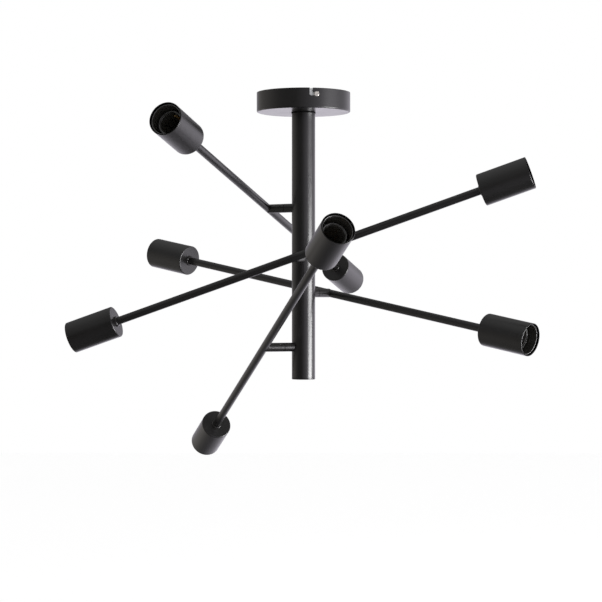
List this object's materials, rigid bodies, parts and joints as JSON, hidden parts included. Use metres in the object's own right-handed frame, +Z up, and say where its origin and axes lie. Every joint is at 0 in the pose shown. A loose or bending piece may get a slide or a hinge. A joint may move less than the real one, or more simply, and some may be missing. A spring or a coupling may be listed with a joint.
{
  "type": "semi-flush ceiling light",
  "caption": "Semi-flush ceiling light: round canopy, straight tube stem and tubular arms that swivel on side stubs, with an open cylindrical screw lampholder at each arm end.",
  "frame": {"origin": "middle of the ceiling face, on the stem axis, in the plane of the strap's top face and the canopy's rim", "axes": "+Z up into the ceiling along the stem axis; -Y is the side seen in the picture and +X its right"},
  "size_m": [0.5918, 0.609, 0.4845],
  "materials": {
    "black_paint": "satin black powder coat",
    "black_nuts": "black lacquered steel, a little glossier than the covers",
    "blackened_steel": "blackened steel",
    "black_moulding": "black moulded thermoset, slightly glossy",
    "brass": "bare rolled brass",
    "nickel": "nickel plated steel",
    "zinc_steel": "zinc plated steel",
    "washer_plastic": "black nylon",
    "block_plastic": "off-white moulded nylon",
    "lead_insulation": "clear grey silicone insulated twin lead"
  },
  "bodies": {
    "root": {"canopy": "black_paint", "mounting_strap": "zinc_steel", "canopy_screws": "nickel", "terminal_block": "block_plastic", "terminal_screws": "brass", "earth_screw": "zinc_steel", "stem": "black_paint", "stem_top_plug": "zinc_steel", "top_nipple": "zinc_steel", "canopy_washer": "zinc_steel", "canopy_nut": "zinc_steel", "stem_end_cap": "black_paint", "stem_wiring": "lead_insulation", "pivot_nuts": "zinc_steel", "friction_washers": "washer_plastic", "arm_bosses": "black_paint", "arm_pivots": "zinc_steel"},
    "arm_1": {"arm_1_sleeve": "black_paint", "arm_1_grub_screw": "blackened_steel", "arm_1_rod": "black_paint", "arm_1_rod_nuts": "black_nuts", "arm_1_lamp_contacts": "brass", "arm_1_lamp_threads": "black_moulding", "lampholder_1_cover": "black_paint", "lampholder_1_socket": "black_moulding", "lampholder_2_cover": "black_paint", "lampholder_2_socket": "black_moulding"},
    "arm_2": {"arm_2_sleeve": "black_paint", "arm_2_grub_screw": "blackened_steel", "arm_2_rod": "black_paint", "arm_2_rod_nuts": "black_nuts", "arm_2_lamp_contacts": "brass", "arm_2_lamp_threads": "black_moulding", "lampholder_3_cover": "black_paint", "lampholder_3_socket": "black_moulding", "lampholder_4_cover": "black_paint", "lampholder_4_socket": "black_moulding"},
    "arm_3": {"arm_3_sleeve": "black_paint", "arm_3_grub_screw": "blackened_steel", "arm_3_rod": "black_paint", "arm_3_rod_nuts": "black_nuts", "arm_3_lamp_contacts": "brass", "arm_3_lamp_threads": "black_moulding", "lampholder_5_cover": "black_paint", "lampholder_5_socket": "black_moulding", "lampholder_6_cover": "black_paint", "lampholder_6_socket": "black_moulding"},
    "arm_4": {"arm_4_sleeve": "black_paint", "arm_4_grub_screw": "blackened_steel", "arm_4_rod": "black_paint", "arm_4_rod_nuts": "black_nuts", "arm_4_lamp_contacts": "brass", "arm_4_lamp_threads": "black_moulding", "lampholder_7_cover": "black_paint", "lampholder_7_socket": "black_moulding", "lampholder_8_cover": "black_paint", "lampholder_8_socket": "black_moulding"}
  },
  "joints": [
    {"name": "arm_1_swivel", "type": "hinge", "parent": "root", "child": "arm_1", "pos_m": [-0.0281, 0.01825, -0.14724], "axis": [-0.8387, 0.5446, 0], "range_deg": [-36, 5]},
    {"name": "arm_2_swivel", "type": "hinge", "parent": "root", "child": "arm_2", "pos_m": [-0.00674, -0.03282, -0.21229], "axis": [-0.2011, -0.9796, 0], "range_deg": [-14, 16]},
    {"name": "arm_3_swivel", "type": "hinge", "parent": "root", "child": "arm_3", "pos_m": [0.02035, 0.02661, -0.25646], "axis": [0.6074, 0.7944, 0], "range_deg": [-11, 28]},
    {"name": "arm_4_swivel", "type": "hinge", "parent": "root", "child": "arm_4", "pos_m": [-0.03095, -0.01282, -0.32597], "axis": [-0.9239, -0.3827, 0], "range_deg": [-32, 34]}
  ]
}
